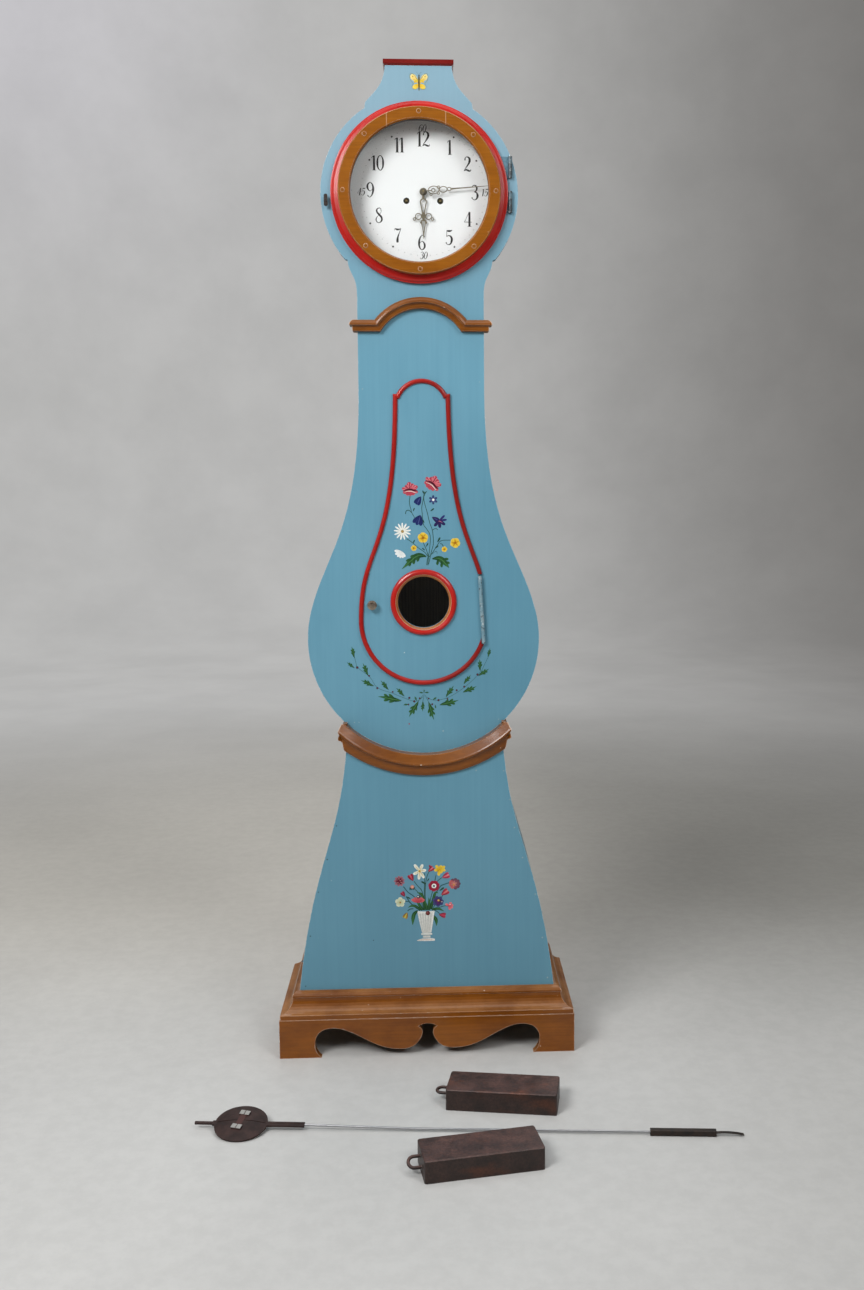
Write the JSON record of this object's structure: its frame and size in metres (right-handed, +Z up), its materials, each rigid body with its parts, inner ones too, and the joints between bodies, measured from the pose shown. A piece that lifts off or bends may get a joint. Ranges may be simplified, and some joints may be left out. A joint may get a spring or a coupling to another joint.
{
  "type": "mora clock",
  "caption": "Painted longcase clock with a round glazed hood, narrow waist, round belly with a teardrop door, flared base on brackets, and loose weights and pendulum.",
  "frame": {"origin": "on the floor, midway along the back of the case", "axes": "+X to the viewer's right, +Y from the front towards the wall, +Z up"},
  "size_m": [1.0896, 0.8535, 2.18],
  "materials": {
    "blue_paint": "oil paint, satin, slightly worn at the edges",
    "brown_paint": "oil paint, gloss, chipped at the edges",
    "red_paint": "oil paint, gloss",
    "bare_pine": "planed, unpainted",
    "dial_paint": "white oil paint on sheet iron, aged towards the rim",
    "glass": "clear window glass",
    "putty": "hardened linseed putty",
    "black_iron": "dark brown rust, worn at the edges",
    "steel": "dull, partly painted over",
    "brass": "old brass, dull"
  },
  "bodies": {
    "case": {"front_board": "blue_paint", "back_board": "bare_pine", "case_sides": "blue_paint", "top_board": "blue_paint", "cap_moulding": "red_paint", "waist_cornice": "brown_paint", "crescent_moulding": "brown_paint", "base_front_panel": "blue_paint", "base_sides": "blue_paint", "base_floor": "bare_pine", "plinth_moulding": "brown_paint", "front_bracket": "brown_paint", "side_brackets": "brown_paint", "glue_blocks": "bare_pine", "seat_cheeks": "bare_pine", "seat_board": "bare_pine", "dial": "dial_paint", "hood_hinge_leaves": "steel", "case_hinge_leaf": "steel", "movement_plates": "brass", "movement_pillars": "brass", "pendulum_cock": "steel", "bell": "brass", "bell_stand": "steel"},
    "catch": {"hood_catch": "black_iron"},
    "hood_door": {"hood_door_ring": "brown_paint", "hood_door_rim": "red_paint", "hood_glass": "glass", "glass_putty": "putty", "ring_pegs": "brown_paint", "hood_door_hinges": "steel"},
    "case_door": {"case_door_panel": "blue_paint", "case_door_bead": "red_paint", "window_rim": "red_paint", "window_liner": "brown_paint", "window_glass": "glass", "case_door_hinge": "steel"},
    "knob": {"case_knob": "brass"},
    "minute_arbor": {"minute_hand": "brass", "cannon_pinion": "steel"},
    "hour_arbor": {"hour_hand": "brass", "hour_wheel": "brass"},
    "motion_wheel": {"minute_wheel": "brass"},
    "centre_arbor": {"centre_wheel": "brass"},
    "third_arbor": {"third_wheel": "brass"},
    "escape_arbor": {"escape_wheel": "brass"},
    "pallet_arbor": {"anchor_and_crutch": "steel"},
    "going_wheel": {"going_great_wheel": "brass"},
    "going_drum": {"going_barrel": "brass"},
    "strike_wheel": {"strike_great_wheel": "brass"},
    "strike_drum": {"strike_barrel": "brass"},
    "pin_arbor": {"pin_wheel": "brass"},
    "fly_arbor": {"fly": "brass"},
    "hammer_arbor": {"hammer": "steel"},
    "front_weight": {"front_weight": "black_iron"},
    "back_weight": {"back_weight": "black_iron"},
    "pendulum": {"pendulum_rod": "steel", "pendulum_bar": "black_iron", "pendulum_bob": "black_iron", "pendulum_suspension": "black_iron"}
  },
  "joints": [
    {"name": "hood_door_hinge", "type": "hinge", "parent": "case", "child": "hood_door", "pos_m": [0.195, -0.2652, 1.923], "axis": [0, 0, 1], "range_deg": [0, 100]},
    {"name": "case_door_hinge", "type": "hinge", "parent": "case", "child": "case_door", "pos_m": [0.12895, -0.267, 1.005], "axis": [-0.0552, 0, 0.9985], "range_deg": [0, 100]},
    {"name": "hood_catch_turn", "type": "hinge", "parent": "case", "child": "catch", "pos_m": [-0.2, -0.265, 1.887], "axis": [0, 1, 0], "range_deg": [0, 90]},
    {"name": "knob_turn", "type": "hinge", "parent": "case_door", "child": "knob", "pos_m": [-0.1135, -0.25, 1.018], "axis": [0, -1, 0], "range_deg": [0, 90]},
    {"name": "minute_turn", "type": "hinge", "parent": "case", "child": "minute_arbor", "pos_m": [0.008, -0.22, 1.911], "axis": [0, 1, 0], "continuous": true},
    {"name": "hour_turn", "type": "hinge", "parent": "case", "child": "hour_arbor", "pos_m": [0.008, -0.22, 1.911], "axis": [0, 1, 0], "continuous": true},
    {"name": "motion_turn", "type": "hinge", "parent": "case", "child": "motion_wheel", "pos_m": [0.008, -0.22, 1.887], "axis": [0, 1, 0], "continuous": true},
    {"name": "escape_turn", "type": "hinge", "parent": "case", "child": "escape_arbor", "pos_m": [0.008, -0.17, 1.94189], "axis": [0, 1, 0], "continuous": true},
    {"name": "third_turn", "type": "hinge", "parent": "case", "child": "third_arbor", "pos_m": [0.02582, -0.17, 1.92882], "axis": [0, 1, 0], "continuous": true},
    {"name": "centre_turn", "type": "hinge", "parent": "case", "child": "centre_arbor", "pos_m": [0.008, -0.17, 1.911], "axis": [0, 1, 0], "continuous": true},
    {"name": "going_turn", "type": "hinge", "parent": "case", "child": "going_wheel", "pos_m": [0.0445, -0.17, 1.8925], "axis": [0, 1, 0], "continuous": true},
    {"name": "going_winding", "type": "hinge", "parent": "going_wheel", "child": "going_drum", "pos_m": [0.0445, -0.17, 1.8925], "axis": [0, 1, 0], "continuous": true},
    {"name": "pallet_rock", "type": "hinge", "parent": "case", "child": "pallet_arbor", "pos_m": [0.008, -0.17, 1.97189], "axis": [0, 1, 0], "range_deg": [-2, 2]},
    {"name": "fly_turn", "type": "hinge", "parent": "case", "child": "fly_arbor", "pos_m": [-0.02717, -0.17, 1.94469], "axis": [0, 1, 0], "continuous": true},
    {"name": "pin_turn", "type": "hinge", "parent": "case", "child": "pin_arbor", "pos_m": [-0.03693, -0.17, 1.92632], "axis": [0, 1, 0], "continuous": true},
    {"name": "strike_turn", "type": "hinge", "parent": "case", "child": "strike_wheel", "pos_m": [-0.0285, -0.17, 1.8925], "axis": [0, 1, 0], "continuous": true},
    {"name": "strike_winding", "type": "hinge", "parent": "strike_wheel", "child": "strike_drum", "pos_m": [-0.0285, -0.17, 1.8925], "axis": [0, 1, 0], "continuous": true},
    {"name": "hammer_swing", "type": "hinge", "parent": "case", "child": "hammer_arbor", "pos_m": [-0.042, -0.17, 1.969], "axis": [0, -1, 0], "range_deg": [0, 10]},
    {"name": "front_weight_lift", "type": "slide", "parent": "case", "child": "front_weight", "axis": [0, 0, 1], "range_m": [0, 0.3]},
    {"name": "back_weight_lift", "type": "slide", "parent": "case", "child": "back_weight", "axis": [0, 0, 1], "range_m": [0, 0.3]},
    {"name": "pendulum_lift", "type": "slide", "parent": "case", "child": "pendulum", "axis": [0, 0, 1], "range_m": [0, 0.3]}
  ],
  "couplings": [
    {"joint": "motion_turn", "follows": "minute_turn", "ratio": -0.33333},
    {"joint": "hour_turn", "follows": "minute_turn", "ratio": 0.083333},
    {"joint": "third_turn", "follows": "escape_turn", "ratio": -0.13333},
    {"joint": "centre_turn", "follows": "escape_turn", "ratio": 0.016667},
    {"joint": "going_turn", "follows": "escape_turn", "ratio": -0.0020833},
    {"joint": "pin_turn", "follows": "fly_turn", "ratio": -0.14286},
    {"joint": "strike_turn", "follows": "fly_turn", "ratio": 0.013605}
  ]
}
